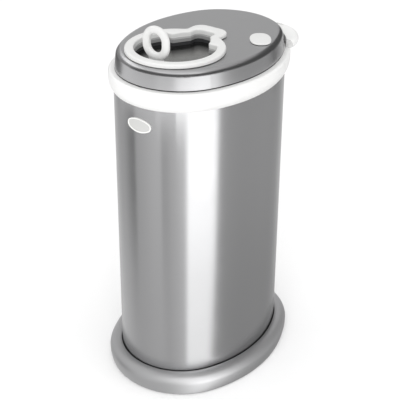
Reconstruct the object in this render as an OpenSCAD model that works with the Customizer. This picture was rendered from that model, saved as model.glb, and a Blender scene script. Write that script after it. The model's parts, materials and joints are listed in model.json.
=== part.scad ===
// Steel nappy bin: an oval steel body on a flared foot, a white collar, and a
// rear-hinged lid whose round door slides back under the lid by a ring handle.
// Long axis along Y with the badge at the front (-Y), up along +Z.
// The origin is on the floor, under the middle of the body.

/* [Body] */
// Half of the body's length, front to back
half_len = 154.4; // [150.2:0.6:158.6]
// Half of the body's width
half_wid = 116; // [113:0.3:119]
// Thickness of the body's steel
body_wall = 0.8; // [0.6:0.1:1.2]
// Height of the collar's lower edge above the floor
collar_z = 504.5; // [443:0.5:553]

/* [Foot] */
// How far the foot stands out from the body
foot_reach = 21.5; // [20:0.1:24]
// Height at which the foot is widest
foot_wide_z = 22.5; // [20:0.5:26]
// Radius of the foot's rounded top
foot_top_r = 15; // [13:0.5:18]
// Radius of the foot's lower side, which leans in to the floor
foot_side_r = 60; // [40:1:90]
// Thickness of the foot's steel
foot_wall = 1.2; // [0.8:0.1:1.6]
// Gap between the foot's upper edge and the body
foot_gap = 1.5; // [1:0.1:2.5]
// Height of the rubber pads under the foot
pad_h = 1.5; // [1.5:0.1:2]
// Radius of a rubber pad
pad_r = 4.4; // [3.5:0.1:4.6]

/* [Collar] */
// Height of the white collar
collar_h = 30; // [28:0.5:34]
// How far the collar stands out from the body
collar_out = 7.6; // [6.5:0.1:9]
// Radius of the collar's upper outer edge
collar_round = 4; // [2:0.5:5]
// Thickness of the moulded walls
wall = 2.5; // [2:0.1:2.8]
// Depth of the liner inside the collar
liner_h = 46; // [40:1:60]
// Height of the ring that holds the bag
bag_ring_h = 34; // [25:1:38]

/* [Rear hinge] */
// How far each end of the rear ledge stands inside the body's side
ledge_side_in = 19; // [16:1:26]
// How far the ledge stands out behind the body
ledge_reach = 18.6; // [18.1:0.1:19.1]
// Plan radius of the ledge's corners
ledge_corner = 62; // [58:1:66]
// Thickness of the ledge
ledge_t = 14; // [13:0.5:15]
// Radius of the hinge pin
pin_r = 2.5; // [2:0.1:2.8]
// Radius of a hinge barrel
barrel_r = 5; // [4.8:0.1:5.2]
// Distance of each hinge arm from the middle
arm_x = 38; // [34:0.5:40]
// Width of a hinge arm
arm_w = 12; // [9:0.5:13]
// Height of the ledge's underside below the collar's top
ledge_drop = 0.5; // [0.3:0.1:0.8]

/* [Lid] */
// Height of the lid's steel cover
cover_h = 29.3; // [28.5:0.1:31]
// Distance of the cover's lower edge inside the body's face
cover_inset = 2.3; // [2:0.1:2.6]
// How far the cover's side leans in over its height
cover_lean = 2.3; // [1.8:0.1:2.6]
// Radius of the cover's shoulder
shoulder_r = 9; // [7:0.5:9.5]
// Thickness of the cover's steel
sheet = 0.8; // [0.6:0.1:1]
// Thickness of the lid's under tray
tray_t = 2; // [1.5:0.1:2.2]

/* [Opening] */
// Distance of the opening's centre behind the middle of the front half
opening_back = 11.2; // [10.2:0.5:13.2]
// Width of the lid on each side of the opening
side_land = 54; // [53:0.5:56]
// Width of the opening's white frame
frame_w = 14; // [12:0.5:15]
// Height of the frame above the lid
frame_h = 7; // [5:0.5:9]
// Half width of the parking bay at the neck
neck_half = 34; // [30:0.5:36]
// Half width of the parking bay for the handle
bay_half = 18; // [17.5:0.5:20]
// Length of the parking bay behind its neck
bay_len = 17; // [16:0.5:18]
// Half width of the frame round the bay
frame_bay_half = 31; // [30:0.5:33]
// Width of the frame behind the bay
bay_frame_w = 21; // [18:0.5:23]

/* [Door] */
// How far the door slides back
door_travel = 104; // [100:0.5:104]
// How far the door's steel disc laps under the opening's edge
disc_lap = 6; // [5.5:0.5:7]
// Thickness of the steel disc
disc_t = 1; // [0.8:0.1:1.2]
// Thickness of the door's moulded carrier
carrier_t = 6; // [5.5:0.1:6.5]
// Depth of the door's face below the lid's top
door_depth = 15; // [14.5:0.1:15.5]
// Clearance between sliding faces
slide_gap = 0.3; // [0.3:0.05:0.4]

/* [Ring handle] */
// Radius of the ring's half circles, to the middle of its section
ring_r = 17.7; // [17:0.1:18.5]
// Straight length between the ring's half circles
ring_straight = 5.2; // [3:0.1:6]
// Radius of the ring's section
ring_tube = 5.4; // [4.6:0.1:5.6]
// Forward lean of the ring
ring_lean = 0; // [0:0.5:4]
// Height of the ring's centre above the lid's top
ring_up = 25; // [24.5:0.5:30]
// Distance of the ring's centre in front of the opening's centre
ring_ahead = 46; // [45:0.5:48]

/* [Child lock] */
// Distance of the lock button's middle inside the body's side
lock_side_in = 38; // [37:0.5:39]
// Place of the lock button behind the middle
lock_y = 46; // [42:0.5:50]
// Direction of the button's long side, in degrees from +X
lock_turn = 128; // [124:1:132]
// Half of the button's length
button_half_len = 24.6; // [22.5:0.3:25.5]
// Half of the button's width
button_half_wid = 16.5; // [15:0.3:17.4]
// Height of the button
button_h = 3; // [2:0.1:4]
// How far the lock slides
lock_travel = 8; // [7:0.5:9]

/* [Badge] */
// Half of the badge's width
badge_half_wid = 21.1; // [18.4:0.3:24.1]
// Half of the badge's height
badge_half_h = 11.5; // [10:0.3:13]
// Distance of the badge's middle below the collar
badge_drop = 29.8; // [20:0.1:60]

/* [Hidden] */
$fn = 64;

// An oval is four arcs, two ends and two flatter sides, tangent where they meet.
// The centres of an end and a side lie on the long edge of an 8, 15, 17
// triangle, so each centre and radius is a short number.
function oval_bow(a, b) = (a - b) / 3;
end_bow = oval_bow(half_len, half_wid);
end_c = 4 * end_bow;
end_r = half_wid - end_bow;
side_c = 7.5 * end_bow;
side_r = half_wid + side_c;

// Clearances shared by many pieces
fit = 0.3;
hole_gap = 0.1;
run_gap = 0.05;
reach = 400;

// Screws: shank radius, head radius and head height
screw_r = 1.5;
head_r = 3;
head_h = 1.2;

// Heights of the body and its foot
lip_top = pad_h + foot_wall;
pan_t = 3;
pan_floor_z = 9;
shell_foot_z = pan_floor_z + pan_t;
pan_wall_h = 27;
rim_line = 6.4;
rim_half = 3;
pad_angles = [50, 130];
screw_angles = [72, 108];

// Heights of the collar and its liner
collar_top = collar_z + collar_h;
shell_top = collar_top - 6;
collar_leg = body_wall + fit;
collar_foot_x = 1.7;
collar_straight_z = collar_z + 0.55 * collar_h;
collar_arc_dx = collar_out - collar_foot_x;
collar_arc_dz = collar_straight_z - collar_z;
collar_arc_r = (collar_arc_dx * collar_arc_dx + collar_arc_dz * collar_arc_dz) / (2 * collar_arc_dx);
leg_x = -collar_leg - wall;
liner_x = leg_x - fit;
liner_top = collar_top - 0.5;
liner_bottom = liner_top - liner_h;
flange_t = 2.5;
flange_in = liner_x - wall - 6;
shelf_in = liner_x - wall - 8;
bag_x = liner_x - wall - 1.5;
bag_z = liner_bottom + wall + fit;
gasket_h = 2.2;
gasket_top = liner_top + gasket_h;
rim_screw_z = collar_z - 1;
seat_gap = 0.3;
clip_w = 26;
clip_t = 1.2;
clip_h = 14;

// The lid's levels
lid_gap = 0.7;
cover_z = collar_top + lid_gap;
lid_top = cover_z + cover_h;
cover_under = lid_top - sheet;
pan_wall_z = gasket_top + fit;
seal_t = 2.6;
pan_top = cover_under - seal_t;
plate_t = 3;
plate_z = pan_top - plate_t;
lip_t = 2;
lip_z = plate_z - lip_t;
pan_out = -cover_inset - cover_lean - sheet - 1;
plate_clear = shoulder_clear(shoulder_r - sheet, cover_under - pan_top);
plate_out = -cover_inset - cover_lean - sheet - plate_clear - slide_gap;
pan_in = pan_out - wall - 0.6;
rib_out = -cover_inset - cover_lean - shoulder_r - slide_gap;
rib_w = 3;
cover_flat = -20;

// The hinge
ledge_half_wid = half_wid - ledge_side_in;
ledge_back = half_len + ledge_reach;
hinge_y = ledge_back - barrel_r - 4.7;
hinge_z = collar_top - ledge_drop + ledge_t / 2 + 0.5;
bush_r = pin_r + 0.9;
arm_gap = 0.5;
pin_half = 54;
cap_l = 3;
ledge_z = collar_top - ledge_drop;
ledge_front = 0.5;
arm_t = 5.8;
arm_root_y = half_len - 19.2;

// The opening, measured from its round part's centre line
opening_fwd = half_len / 2 - opening_back;
opening_r = half_wid - side_land;
opening_y = -opening_fwd;
shoulder_y = opening_y + opening_r - 24;
neck_y = shoulder_y + 26;
bay_back = neck_y + bay_len;
frame_bay_back = bay_back + bay_frame_w;
bay_corner = 9;
frame_corner = 18;
frame_top = lid_top + frame_h;

// The door
disc_r = opening_r + disc_lap;
disc_top = lid_top - door_depth;
carrier_top = disc_top - disc_t;
carrier_z = carrier_top - carrier_t;
carrier_half = disc_r + 4;
carrier_front = opening_y - 22;
carrier_back = opening_y + 48;
tongue_half = bay_half + 8;
tongue_back = bay_back + 5;
carrier_floor = 2.5;
glide_l = 12;
glide_w = 9;
glide_h = carrier_t - 1.6;
glide_z = carrier_z + 0.8;
glide_ys = [carrier_front + 8, carrier_back - 8];
channel_in = carrier_half + 3.4;
channel_out = carrier_half + glide_w + 0.5;
rail_t = 2.4;
rail_z = glide_z - slide_gap - rail_t;
rail_top = glide_z + glide_h + slide_gap + rail_t;
rail_half = opening_fwd + 24;
rail_ear_y = rail_half - 30;
rail_ear_ys = [-rail_ear_y, 0, rail_ear_y];
rail_ear_x = channel_out + rail_t + 4;
ear_half = 4;
tray_z = rail_z - 1 - tray_t;
post_r = 4;
tray_post_x = half_wid - 54;
tray_post_y = opening_fwd + 46;
tray_posts = [[tray_post_x, -tray_post_y], [tray_post_x, tray_post_y], [half_wid - 16, 0]];
frame_post_ring = opening_r + 9;
frame_posts = [for (a = [20, 62]) [frame_post_ring * cos(a), -frame_post_ring * sin(a)]];
bay_posts = [frame_bay_half - 6, frame_bay_back - 10];

// Screw lengths, and where the screws end short of the pan's plate
blind = 1;
rail_screw_l = plate_z - rail_top + rail_t - blind - hole_gap;
tray_screw_l = tray_t + 8;

// The handle, in the plane of its ring
ring_fwd = opening_fwd + ring_ahead;
ring_z = lid_top + ring_up;
ring_half = ring_straight / 2;
ring_in = ring_r - ring_tube;
stem_t = ring_tube * 1.45;
stem_half = 12;
stem_drop = (ring_z - disc_top) / cos(ring_lean);
foot_half_x = 15;
foot_half_len = 7.5;
foot_mid = -ring_fwd + (ring_z - disc_top) * tan(ring_lean);
foot_y0 = foot_mid - foot_half_len;
foot_y1 = foot_mid + foot_half_len;
foot_t = 4;
handle_screw_x = 8;
handle_screw_y = foot_mid;
handle_screw_l = 12;

// The lock
lock_x = half_wid - lock_side_in;
button_z = lid_top + fit;
lock_post_r = 4;
bar_t = 3;
bar_z = rail_top + 0.8;
bar_in = lock_x - 5.5;
bar_out = lock_x + 4.5;
bar_front = carrier_back - 7;
bar_back = lock_y + 6;
lug_out = bar_in - 2.5;
lug_w = 6;
lug_y = bar_front - 0.7;
detent_t = 0.8;
detent_l = 22;
detent_front = lock_y - 12 - detent_l;
detent_back = lock_y - 12;
detent_foot = 5;

// The badge, on the front end's face
badge_z = collar_z - badge_drop;
badge_bow = oval_bow(badge_half_wid, badge_half_h);
badge_c = 4 * badge_bow;
badge_side = 7.5 * badge_bow;
badge_rim = 3;
badge_plate_t = 1.2;
badge_bezel_t = 2.4;
badge_pin_r = 1.2;
badge_pin_x = 10;

function end_point(a, e) = [(end_r + e) * cos(a), end_c + (end_r + e) * sin(a)];

module both_ends() {
    for (turn = [0, 180])
        rotate([0, 0, turn]) children();
}

module both_sides() {
    for (side = [0, 1])
        mirror([side, 0, 0]) children();
}

// Carries a profile once round the oval: x is the distance outwards from the
// body's face and y is the height.
module around() {
    both_ends() {
        intersection() {
            translate([0, end_c, 0]) rotate_extrude() translate([end_r, 0]) children();
            linear_extrude(2 * reach) end_share(end_c, side_c);
        }
        intersection() {
            translate([-side_c, 0, 0]) rotate_extrude() translate([side_r, 0]) children();
            linear_extrude(2 * reach) side_share(end_c, side_c);
        }
    }
}

// The end's and the side's share of the plane, divided by the lines that run
// through both centres: c is the end centre's distance and s is the side's
module end_share(c, s) {
    polygon([[0, c], [4 * s, 5 * c], [-4 * s, 5 * c]]);
}

module side_share(c, s) {
    polygon([[-s, 0], [4 * s, -5 * c], [4 * s, 5 * c]]);
}

// A box in a profile, from its low corner to its high corner
module band(x0, x1, z0, z1) {
    translate([x0, z0]) square([x1 - x0, z1 - z0]);
}

// Area of an oval, grown by e, with its long side along Y
module oval_area(a, b, e) {
    k = oval_bow(a, b);
    c = 4 * k;
    side = 7.5 * k;
    both_ends() {
        intersection() {
            translate([0, c]) circle(b - k + e);
            end_share(c, side);
        }
        intersection() {
            translate([-side, 0]) circle(b + side + e);
            side_share(c, side);
        }
    }
}

// A flat plate of the body's oval, grown by e
module plate(e, z0, z1) {
    translate([0, 0, z0]) linear_extrude(z1 - z0) oval_area(half_len, half_wid, e);
}

module block(x0, x1, y0, y1, z0, z1) {
    translate([x0, y0, z0]) cube([x1 - x0, y1 - y0, z1 - z0]);
}

module rod(p, r, z0, z1) {
    translate([p[0], p[1], z0]) cylinder(h = z1 - z0, r = r);
}

// A pan-head screw that points up, with its head under height z
module screw_up(p, z, length) {
    rod(p, head_r, z - head_h, z);
    rod(p, screw_r, z, z + length);
}

module at_foot_screws() {
    both_ends() {
        for (a = screw_angles)
            translate(end_point(a, rim_line)) children();
        translate([half_wid + rim_line, 0]) children();
    }
}

module at_pads() {
    both_ends()
        for (a = pad_angles)
            translate(end_point(a, rim_line)) children();
}

module outer_shell() {
    color("silver") difference() {
        around() band(-body_wall, 0, shell_foot_z, shell_top);
        badge_holes();
    }
}

// The foot's section: a rounded top, a side that leans in to the floor and a
// lip turned in under it
module foot_section() {
    intersection() {
        translate([foot_reach - foot_top_r, foot_wide_z]) difference() {
            circle(foot_top_r, $fn = 120);
            circle(foot_top_r - foot_wall, $fn = 120);
        }
        band(foot_gap, foot_reach + 1, foot_wide_z, foot_wide_z + foot_top_r);
    }
    intersection() {
        translate([foot_reach - foot_side_r, foot_wide_z]) difference() {
            circle(foot_side_r, $fn = 240);
            circle(foot_side_r - foot_wall, $fn = 240);
        }
        band(rim_line, foot_reach + 1, pad_h, foot_wide_z);
    }
    intersection() {
        translate([foot_reach - foot_side_r, foot_wide_z]) circle(foot_side_r - foot_wall / 2, $fn = 240);
        band(rim_line - rim_half, foot_reach, pad_h, lip_top);
    }
}

module base_skirt() {
    color("silver") difference() {
        around() foot_section();
        at_foot_screws() rod([0, 0], screw_r + hole_gap, 0, foot_wide_z);
        at_pads() rod([0, 0], pad_r / 2 + hole_gap, 0, foot_wide_z);
    }
}

module floor_pan() {
    color("dimgray") difference() {
        union() {
            plate(rim_line + rim_half, pan_floor_z, shell_foot_z);
            around() band(-collar_leg - wall, -collar_leg, shell_foot_z, shell_foot_z + pan_wall_h);
            around() band(rim_line - rim_half, rim_line + rim_half, lip_top, pan_floor_z);
        }
        at_foot_screws() rod([0, 0], screw_r + hole_gap, 0, shell_foot_z - 1);
        at_pads() rod([0, 0], pad_r / 2 + hole_gap, 0, pan_floor_z);
    }
}

module rubber_feet() {
    color("black") at_pads() {
        rod([0, 0], pad_r, 0, pad_h);
        rod([0, 0], pad_r / 2, pad_h, pan_floor_z - 1);
    }
}

module base_screws() {
    color("gray") at_foot_screws() screw_up([0, 0], pad_h, shell_foot_z - pad_h - 2);
}

// The collar's section: an arc that tucks in to the body, a straight side and
// a rounded top, with a leg inside the shell and a slot for the shell's edge
module collar_section() {
    difference() {
        union() {
            intersection() {
                translate([collar_out - collar_arc_r, collar_straight_z]) circle(collar_arc_r, $fn = 180);
                band(0, collar_out + 1, collar_z, collar_straight_z);
            }
            band(-collar_leg, collar_out, collar_straight_z, collar_top - collar_round);
            band(-collar_leg, collar_out - collar_round, collar_top - collar_round, collar_top);
            intersection() {
                translate([collar_out - collar_round, collar_top - collar_round]) circle(collar_round);
                band(collar_out - collar_round, collar_out + 1, collar_top - collar_round, collar_top);
            }
            band(leg_x, -collar_leg, collar_z - 6, collar_top);
        }
        band(-collar_leg, fit, 0, shell_top + fit);
    }
}

// The ledge's section: thick as ledge_t with a half-round nose
module ledge_section(depth) {
    nose = ledge_t / 2;
    band(-depth, -nose, ledge_z, ledge_z + ledge_t);
    intersection() {
        translate([-nose, ledge_z + nose]) circle(nose);
        band(-nose, 0, ledge_z, ledge_z + ledge_t);
    }
}

// The rear ledge that carries the hinge and wraps the back of the lid
module rear_ledge() {
    flat_half = ledge_half_wid - ledge_corner;
    corner_y = ledge_back - ledge_corner;
    difference() {
        union() {
            both_sides() translate([flat_half, corner_y, 0])
                rotate_extrude(angle = 90) translate([ledge_corner, 0]) ledge_section(ledge_corner - 1);
            translate([-flat_half, ledge_back, 0]) rotate([90, 0, 90])
                linear_extrude(2 * flat_half) ledge_section(ledge_corner - 1);
        }
        plate(ledge_front, ledge_z - 1, ledge_z + ledge_t + 1);
    }
}

module hinge_rod(r, x0, x1) {
    translate([x0, hinge_y, hinge_z]) rotate([0, 90, 0]) cylinder(h = x1 - x0, r = r);
}

module rim_collar() {
    color("white") difference() {
        union() {
            around() collar_section();
            rear_ledge();
        }
        both_sides() block(arm_x - arm_w / 2 - arm_gap, arm_x + arm_w / 2 + arm_gap, half_len - 30,
                           hinge_y + barrel_r + 0.7, collar_top + 1.5, collar_top + ledge_t + 5);
        hinge_rod(pin_r, -ledge_half_wid, ledge_half_wid);
        at_rim_screws() rim_screw_hole(screw_r);
    }
}

// Four screws that hold the liner to the collar's leg, one to each side
module at_rim_screws() {
    both_ends() {
        translate([0, half_len, rim_screw_z]) rotate([-90, 0, 0]) children();
        translate([half_wid, 0, rim_screw_z]) rotate([0, 90, 0]) children();
    }
}

module rim_screw_hole(r) {
    translate([0, 0, liner_x - wall - 1]) cylinder(h = wall + 1 - collar_leg - liner_x - 0.6, r = r);
}

module rim_liner() {
    color("whitesmoke") difference() {
        around() {
            band(liner_x - wall, liner_x, liner_bottom, liner_top);
            band(flange_in, liner_x, liner_top - flange_t, liner_top);
            band(shelf_in, liner_x, liner_bottom, liner_bottom + wall);
        }
        at_rim_screws() rim_screw_hole(screw_r + hole_gap);
    }
}

module rim_screws() {
    color("gray") at_rim_screws() {
        translate([0, 0, liner_x - wall - seat_gap - head_h]) cylinder(h = head_h, r = head_r - 0.4);
        translate([0, 0, liner_x - wall - seat_gap])
            cylinder(h = wall - liner_x - collar_leg - 1, r = screw_r);
    }
}

module bag_ring() {
    color("whitesmoke") difference() {
        around() {
            band(bag_x - wall, bag_x, bag_z, bag_z + bag_ring_h);
            band(shelf_in, bag_x, bag_z, bag_z + wall);
        }
        at_rim_screws() translate([0, 0, bag_x - wall - 1]) cylinder(h = wall + 2, r = head_r + 1);
    }
}

// Two spring clips that hold the bag's edge on the ring
module bag_clips() {
    top = bag_z + bag_ring_h;
    color("silver") both_sides() intersection() {
        translate([-side_c, 0, 0]) rotate_extrude() translate([side_r, 0]) difference() {
            band(bag_x - wall - clip_t, bag_x + clip_t, top - clip_h, top + clip_t);
            band(bag_x - wall, bag_x, 0, top);
        }
        block(0, half_wid, -clip_w / 2, clip_w / 2, 0, top + clip_h);
    }
}

module lid_gasket() {
    color("dimgray") around() band(pan_in - 0.6, pan_out, liner_top, gasket_top);
}

// A curved layer on the front end's face, between two radii
module front_layer(half_h, r0, r1) {
    translate([0, -end_c, badge_z - half_h]) difference() {
        cylinder(h = 2 * half_h, r = r1, $fn = 180);
        translate([0, 0, -1]) cylinder(h = 2 * half_h + 2, r = r0, $fn = 180);
    }
}

// Carries an outline through the front wall
module through_front() {
    translate([0, -end_c, badge_z]) rotate([90, 0, 0])
        linear_extrude(end_r + collar_out) rotate([0, 0, 90]) children();
}

module at_badge_pins() {
    both_sides() translate([badge_pin_x, -half_len, badge_z]) rotate([90, 0, 0]) children();
}

module badge_holes() {
    at_badge_pins() translate([0, 0, -8]) cylinder(h = 12, r = badge_pin_r);
}

// The badge's oval, grown by e: two round ends, and a middle between two flatter
// sides that stops where they touch the ends
module badge_area(e) {
    end = badge_half_h - badge_bow + e;
    touch = badge_c + end * 8 / 17;
    for (turn = [-1, 1])
        translate([0, turn * badge_c]) circle(end);
    intersection() {
        translate([-badge_side, 0]) circle(badge_half_h + badge_side + e);
        translate([badge_side, 0]) circle(badge_half_h + badge_side + e);
        translate([-badge_half_h, -touch]) square([2 * badge_half_h, 2 * touch]);
    }
}

module badge_plate() {
    color("white") difference() {
        intersection() {
            front_layer(badge_half_h + 1, end_r, end_r + badge_plate_t);
            through_front() badge_area(-badge_rim);
        }
        badge_holes();
    }
}

module badge_bezel() {
    color("silver") intersection() {
        front_layer(badge_half_h + 1, end_r, end_r + badge_bezel_t);
        through_front() difference() {
            badge_area(0);
            badge_area(-badge_rim);
        }
    }
}

module badge_pins() {
    color("gray") intersection() {
        at_badge_pins() translate([0, 0, -4]) cylinder(h = 8, r = badge_pin_r);
        front_layer(2 * badge_pin_r, end_r - body_wall - 1, end_r + badge_plate_t);
    }
}

module hinge_pin() {
    color("gray") hinge_rod(pin_r, -pin_half, pin_half);
}

module hinge_caps() {
    color("white") both_sides() hinge_rod(pin_r, pin_half, pin_half + cap_l);
}

// How far a shoulder of radius r stands in from the side, at a depth d below its top
function shoulder_clear(r, d) = r - sqrt(r * r - (r - d) * (r - d));

// Area under the cover's outer face, drawn in by t
module cover_under_area(t) {
    x0 = -cover_inset - t;
    x1 = -cover_inset - cover_lean - t;
    z1 = lid_top - shoulder_r;
    polygon([[cover_flat, cover_z - t], [x0, cover_z - t], [x1, z1], [cover_flat, z1]]);
    band(cover_flat, x1 - shoulder_r + t, z1, lid_top - t);
    intersection() {
        translate([x1 - shoulder_r + t, z1]) circle(shoulder_r - t);
        band(x1 - shoulder_r + t, 0, z1, lid_top);
    }
}

module cover_section() {
    difference() {
        cover_under_area(0);
        cover_under_area(sheet);
    }
}

// Outline of the opening and its parking bay, grown by e
module opening_area(e) {
    intersection() {
        translate([0, opening_y]) circle(opening_r + e, $fn = 120);
        translate([-reach / 2, shoulder_y + e - reach]) square(reach);
    }
    polygon([[-neck_half - e, shoulder_y - 8], [neck_half + e, shoulder_y - 8],
             [neck_half + e, shoulder_y + e],
             [bay_half + e, neck_y], [-bay_half - e, neck_y], [-neck_half - e, shoulder_y + e]]);
    bay_area(bay_half + e, bay_back + e, bay_corner + e);
}

// A bay from the middle of the opening back to y = back, with round corners
module bay_area(half, back, corner) {
    translate([-half, opening_y]) square([2 * half, back - corner - opening_y]);
    translate([-half + corner, opening_y]) square([2 * (half - corner), back - opening_y]);
    for (side = [-1, 1])
        translate([side * (half - corner), back - corner]) circle(corner);
}

module frame_area() {
    translate([0, opening_y]) circle(opening_r + frame_w, $fn = 120);
    bay_area(frame_bay_half, frame_bay_back, frame_corner);
}

// A wall that follows the opening's outline, between two offsets
module opening_wall(e0, e1, z0, z1) {
    translate([0, 0, z0]) linear_extrude(z1 - z0) difference() {
        opening_area(e1);
        opening_area(e0);
    }
}

module opening_cut(e, z0, z1) {
    translate([0, 0, z0]) linear_extrude(z1 - z0) opening_area(e);
}

module at_frame_posts() {
    both_sides() {
        for (p = frame_posts)
            translate([p[0], opening_y + p[1]]) children();
        translate(bay_posts) children();
    }
}

module at_tray_posts() {
    both_sides()
        for (p = tray_posts)
            translate(p) children();
}

module at_rail_posts() {
    both_sides()
        for (y = rail_ear_ys)
            translate([rail_ear_x, y]) children();
}

// Slot along the lock's travel
module lock_slot(z0, z1) {
    r = lock_post_r + 0.4;
    translate([lock_x, lock_y, z0]) rotate([0, 0, lock_turn]) {
        cylinder(h = z1 - z0, r = r);
        translate([lock_travel, 0, 0]) cylinder(h = z1 - z0, r = r);
        translate([0, -r, 0]) cube([lock_travel, 2 * r, z1 - z0]);
    }
}

module lid_cover() {
    color("silver") difference() {
        union() {
            around() cover_section();
            plate(cover_flat, cover_under, lid_top);
        }
        opening_cut(3, cover_under - 1, lid_top + 1);
        at_frame_posts() rod([0, 0], screw_r + hole_gap, cover_under - 1, lid_top + 1);
        lock_slot(cover_under - 1, lid_top + 1);
        both_sides() block(arm_x - arm_w / 2 - arm_gap, arm_x + arm_w / 2 + arm_gap, half_len - 40,
                           half_len + 5, cover_z - 1, hinge_z + 2.5);
    }
}

module hinge_arm() {
    difference() {
        union() {
            block(arm_x - arm_w / 2, arm_x + arm_w / 2, arm_root_y, hinge_y,
                  hinge_z - arm_t + 1.5, hinge_z + 1.5);
            hinge_rod(barrel_r, arm_x - arm_w / 2, arm_x + arm_w / 2);
        }
        hinge_rod(bush_r, 0, reach);
        plate(pan_in, collar_top, lid_top);
    }
}

module lid_pan() {
    color("white") difference() {
        union() {
            plate(min(pan_out, plate_out), plate_z, pan_top);
            around() band(pan_in, pan_out, pan_wall_z, plate_z);
            around() band(rib_out - rib_w, rib_out, pan_top, cover_under);
            opening_wall(3, 6.5, pan_top, cover_under);
            opening_wall(0, 3, lip_z, plate_z);
            at_tray_posts() rod([0, 0], post_r, tray_z + tray_t, plate_z);
            at_rail_posts() rod([0, 0], post_r, rail_top, plate_z);
            both_sides() hinge_arm();
        }
        opening_cut(0, plate_z - 1, pan_top + 1);
        at_frame_posts() rod([0, 0], screw_r + hole_gap, lip_z, lid_top);
        at_tray_posts() rod([0, 0], screw_r, tray_z, plate_z - blind);
        at_rail_posts() rod([0, 0], screw_r, rail_z, plate_z - blind);
        lock_slot(plate_z - 1, lid_top);
    }
}

module opening_frame() {
    color("white") difference() {
        union() {
            translate([0, 0, lid_top]) linear_extrude(frame_h) frame_area();
            opening_cut(2.6, cover_under, lid_top);
        }
        opening_cut(0, cover_under - 1, frame_top + 1);
        at_frame_posts() rod([0, 0], screw_r, cover_under - 1, lid_top + frame_h - 2);
    }
}

module opening_seal() {
    color("gray") opening_wall(0.6, 2.6, pan_top, cover_under);
}

module door_seal() {
    color("black") opening_wall(2, 5, disc_top + slide_gap, lip_z);
}

module frame_screws() {
    color("gray") at_frame_posts() screw_up([0, 0], plate_z, lid_top + frame_h - 3 - plate_z);
}

module door_rails() {
    color("lightgray") both_sides() difference() {
        union() {
            block(channel_in, channel_out + rail_t, -rail_half, rail_half, rail_z, rail_top);
            for (y = rail_ear_ys)
                block(channel_out, rail_ear_x + ear_half, y - 6, y + 6, rail_top - rail_t, rail_top);
        }
        block(channel_in - 1, channel_out, -rail_half + rail_t, rail_half - rail_t,
              rail_z + rail_t, rail_top - rail_t);
        for (y = rail_ear_ys)
            rod([rail_ear_x, y], screw_r + hole_gap, rail_z, rail_top + 1);
    }
}

module rail_screws() {
    color("gray") at_rail_posts() screw_up([0, 0], rail_top - rail_t, rail_screw_l);
}

module under_tray() {
    color("white") difference() {
        plate(pan_in - fit, tray_z, tray_z + tray_t);
        opening_cut(0, tray_z - 1, tray_z + tray_t + 1);
        at_tray_posts() rod([0, 0], screw_r + hole_gap, tray_z - 1, tray_z + tray_t + 1);
    }
}

module tray_screws() {
    color("gray") at_tray_posts() screw_up([0, 0], tray_z, tray_screw_l);
}

module hinge_bushes() {
    color("ivory") both_sides() difference() {
        hinge_rod(bush_r, arm_x - arm_w / 2, arm_x + arm_w / 2);
        hinge_rod(pin_r + run_gap, 0, reach);
    }
}

// A leaf spring beside the bar, held under the pan
module lock_detent() {
    x = bar_out + 1;
    color("gray") {
        block(x, x + detent_t, detent_front, detent_back, bar_z, plate_z);
        block(x, x + detent_foot, detent_front, detent_back, plate_z - detent_t, plate_z);
    }
}

// Outline of the door, with its straight guided sides when half is above zero
module door_area(r, half, tongue, back) {
    translate([0, opening_y]) circle(r, $fn = 120);
    translate([-tongue, opening_y]) square([2 * tongue, back - opening_y]);
    if (half > 0)
        translate([-half, carrier_front]) square([2 * half, carrier_back - carrier_front]);
}

module at_handle_screws() {
    both_sides() translate([handle_screw_x, handle_screw_y]) children();
}

module door_disc() {
    color("silver") difference() {
        translate([0, 0, carrier_top]) linear_extrude(disc_t) door_area(disc_r, 0, tongue_half, tongue_back);
        at_handle_screws() rod([0, 0], screw_r + hole_gap, carrier_z, disc_top + 1);
    }
}

module door_carrier() {
    color("lightgray") difference() {
        union() {
            difference() {
                translate([0, 0, carrier_z]) linear_extrude(carrier_t)
                    door_area(disc_r + 2, carrier_half, tongue_half + 2, tongue_back + 2);
                translate([0, 0, carrier_z - 1]) linear_extrude(carrier_t + 1 - carrier_floor)
                    door_area(disc_r - 3, carrier_half - 5, tongue_half - 3, tongue_back - 3);
            }
            block(lug_out - lug_w, lug_out, lug_y - lug_w, lug_y, carrier_top, bar_z + bar_t);
        }
        at_handle_screws() rod([0, 0], screw_r + hole_gap, carrier_z - 1, carrier_top + 1);
        both_sides()
            for (y = glide_ys)
                translate([carrier_half - 4, y, glide_z + glide_h / 2]) rotate([0, 90, 0])
                    cylinder(h = 5, r = screw_r);
    }
}

// Four glide shoes with pegs that press into the carrier's sides
module door_glides() {
    color("ivory") both_sides()
        for (y = glide_ys) {
            block(carrier_half, carrier_half + glide_w, y - glide_l / 2, y + glide_l / 2,
                  glide_z, glide_z + glide_h);
            translate([carrier_half - 3.5, y, glide_z + glide_h / 2]) rotate([0, 90, 0])
                cylinder(h = 3.5, r = screw_r);
        }
}

// Places things in the ring's plane: x across, y up the ring, z out of it
module in_ring_plane() {
    translate([0, -ring_fwd, ring_z]) rotate([90 + ring_lean, 0, 0]) children();
}

module ring_loop() {
    for (turn = [0, 180])
        rotate([0, 0, turn]) {
            translate([0, ring_half, 0]) rotate_extrude(angle = 180) translate([ring_r, 0]) circle(ring_tube);
            translate([ring_r, -ring_half, 0]) rotate([-90, 0, 0]) cylinder(h = ring_straight, r = ring_tube);
        }
}

// The stem in the ring's plane, from its foot up into the ring
module stem_area() {
    difference() {
        translate([-stem_half, -stem_drop - 3]) square([2 * stem_half, stem_drop + 3 - ring_half - ring_in]);
        translate([0, -ring_half]) circle(ring_in + 1);
    }
}

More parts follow.
